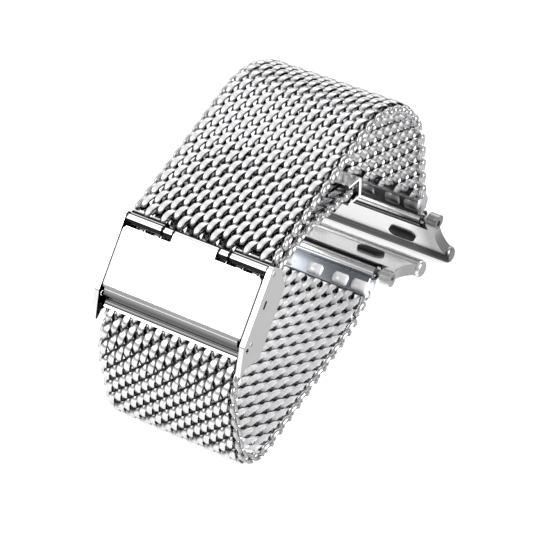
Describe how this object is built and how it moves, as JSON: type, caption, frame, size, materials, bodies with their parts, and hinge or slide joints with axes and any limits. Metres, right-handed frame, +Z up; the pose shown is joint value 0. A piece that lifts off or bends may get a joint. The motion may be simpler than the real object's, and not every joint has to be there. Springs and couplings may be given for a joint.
{
  "type": "milanese mesh watch band",
  "caption": "Closed-loop woven steel mesh watch band with a sliding hinged-cover clasp, a capped free tail and a slide-in case adapter at each end.",
  "frame": {"origin": "middle of the footprint on the table, under the standing loop", "axes": "+X along the clasp's hinge pin, across the band; +Z up; -Y is the clasp side"},
  "size_m": [0.0248, 0.0468, 0.032],
  "materials": {
    "woven_steel": "woven polished wire",
    "polished_steel": "polished",
    "satin_steel": "satin",
    "pin_steel": "drawn wire",
    "black_pad": "matte"
  },
  "bodies": {
    "long_half": {"lower_mesh_front": "woven_steel", "tail_end_cap": "polished_steel"},
    "clasp": {"clasp_base": "satin_steel", "hinge_pin": "pin_steel", "hinge_collars": "pin_steel", "gate_pin": "pin_steel"},
    "cover": {"clasp_cover": "polished_steel"},
    "gate": {"lock_gate": "satin_steel"},
    "upper_front": {"upper_mesh_front": "woven_steel", "hinge_tube_left": "polished_steel", "hinge_tube_right": "polished_steel"},
    "upper_bend": {"upper_mesh_bend": "woven_steel"},
    "upper_back": {"upper_mesh_back": "woven_steel", "upper_end_clamp": "polished_steel", "upper_end_tube": "polished_steel", "upper_bar_tube": "pin_steel", "upper_bar_spring": "pin_steel"},
    "upper_adapter": {"upper_adapter_frame": "polished_steel", "upper_pad_left": "black_pad", "upper_pad_right": "black_pad", "upper_latch_spring": "pin_steel"},
    "upper_tip_left": {"upper_bar_tip_left": "pin_steel"},
    "upper_tip_right": {"upper_bar_tip_right": "pin_steel"},
    "upper_latch": {"upper_latch_button": "polished_steel"},
    "lower_middle": {"lower_mesh_middle": "woven_steel"},
    "lower_back": {"lower_mesh_back": "woven_steel", "lower_end_clamp": "polished_steel", "lower_end_tube": "polished_steel", "lower_bar_tube": "pin_steel", "lower_bar_spring": "pin_steel"},
    "lower_adapter": {"lower_adapter_frame": "polished_steel", "lower_pad_left": "black_pad", "lower_pad_right": "black_pad", "lower_latch_spring": "pin_steel"},
    "lower_tip_left": {"lower_bar_tip_left": "pin_steel"},
    "lower_tip_right": {"lower_bar_tip_right": "pin_steel"},
    "lower_latch": {"lower_latch_button": "polished_steel"}
  },
  "joints": [
    {"name": "clasp_slide", "type": "slide", "parent": "long_half", "child": "clasp", "axis": [0, 0.7431, 0.6691], "range_m": [0, 0.002]},
    {"name": "cover_hinge", "type": "hinge", "parent": "clasp", "child": "cover", "pos_m": [0, -0.01269, 0.02691], "axis": [-1, 0, 0], "range_deg": [0, 90]},
    {"name": "gate_hinge", "type": "hinge", "parent": "clasp", "child": "gate", "pos_m": [0, -0.01858, 0.02067], "axis": [1, 0, 0], "range_deg": [0, 12]},
    {"name": "upper_half_pivot", "type": "hinge", "parent": "clasp", "child": "upper_front", "pos_m": [0, -0.01269, 0.02691], "axis": [1, 0, 0], "range_deg": [0, 40]},
    {"name": "upper_front_flex", "type": "hinge", "parent": "upper_front", "child": "upper_bend", "pos_m": [0, -0.0009, 0.02914], "axis": [1, 0, 0], "range_deg": [-4, 12]},
    {"name": "upper_back_flex", "type": "hinge", "parent": "upper_bend", "child": "upper_back", "pos_m": [0, 0.02077, 0.02238], "axis": [1, 0, 0], "range_deg": [-4, 12]},
    {"name": "upper_adapter_pivot", "type": "hinge", "parent": "upper_back", "child": "upper_adapter", "pos_m": [0, 0.01995, 0.00826], "axis": [1, 0, 0], "range_deg": [-15, 35]},
    {"name": "lower_middle_flex", "type": "hinge", "parent": "long_half", "child": "lower_middle", "pos_m": [0, -0.00583, 0.00266], "axis": [-1, 0, 0], "range_deg": [-4, 12]},
    {"name": "lower_back_flex", "type": "hinge", "parent": "lower_middle", "child": "lower_back", "pos_m": [0, 0.00299, 0.00433], "axis": [-1, 0, 0], "range_deg": [-4, 12]},
    {"name": "lower_adapter_pivot", "type": "hinge", "parent": "lower_back", "child": "lower_adapter", "pos_m": [0, 0.00881, 0.00827], "axis": [1, 0, 0], "range_deg": [-20, 25]},
    {"name": "upper_tip_left_press", "type": "slide", "parent": "upper_back", "child": "upper_tip_left", "axis": [1, 0, 0], "range_m": [0, 0.0008], "stiffness_N_per_m": 600, "springref_m": -0.0015},
    {"name": "upper_tip_right_press", "type": "slide", "parent": "upper_back", "child": "upper_tip_right", "axis": [-1, 0, 0], "range_m": [0, 0.0008], "stiffness_N_per_m": 600, "springref_m": -0.0015},
    {"name": "upper_latch_press", "type": "slide", "parent": "upper_adapter", "child": "upper_latch", "axis": [0, -0.9608, -0.2773], "range_m": [0, 0.00045], "stiffness_N_per_m": 600, "springref_m": -0.001},
    {"name": "lower_tip_left_press", "type": "slide", "parent": "lower_back", "child": "lower_tip_left", "axis": [1, 0, 0], "range_m": [0, 0.0008], "stiffness_N_per_m": 600, "springref_m": -0.0015},
    {"name": "lower_tip_right_press", "type": "slide", "parent": "lower_back", "child": "lower_tip_right", "axis": [-1, 0, 0], "range_m": [0, 0.0008], "stiffness_N_per_m": 600, "springref_m": -0.0015},
    {"name": "lower_latch_press", "type": "slide", "parent": "lower_adapter", "child": "lower_latch", "axis": [0, 0.515, 0.8572], "range_m": [0, 0.00045], "stiffness_N_per_m": 600, "springref_m": -0.001}
  ],
  "couplings": [
    {"joint": "gate_hinge", "follows": "cover_hinge", "ratio": 0.13}
  ]
}
